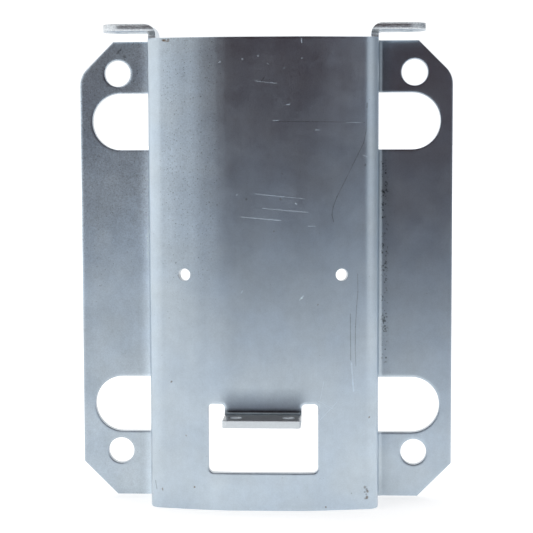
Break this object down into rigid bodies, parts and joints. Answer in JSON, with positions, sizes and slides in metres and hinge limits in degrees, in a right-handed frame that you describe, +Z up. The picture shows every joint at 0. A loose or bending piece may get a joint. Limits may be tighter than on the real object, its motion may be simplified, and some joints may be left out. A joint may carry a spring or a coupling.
{
  "type": "hitch plate",
  "caption": "Zinc-plated steel plate folded into a hat section, with bolted flanges, through slots, a window with a forward tab, and drilled ears at the top.",
  "frame": {"origin": "middle of the four bolt holes, on the plane of the flanges' back faces", "axes": "+X to the right and +Z up as the plate is mounted; the front of the plate faces -Y, and the face that it is bolted against is the plane Y = 0"},
  "size_m": [0.1624, 0.0495, 0.2062],
  "materials": {
    "zinc_plated_steel": "bright bluish zinc plate on sheet steel, slightly cloudy, with fine specks and scratches"
  },
  "bodies": {
    "root": {"hitch_plate": "zinc_plated_steel"}
  },
  "joints": []
}
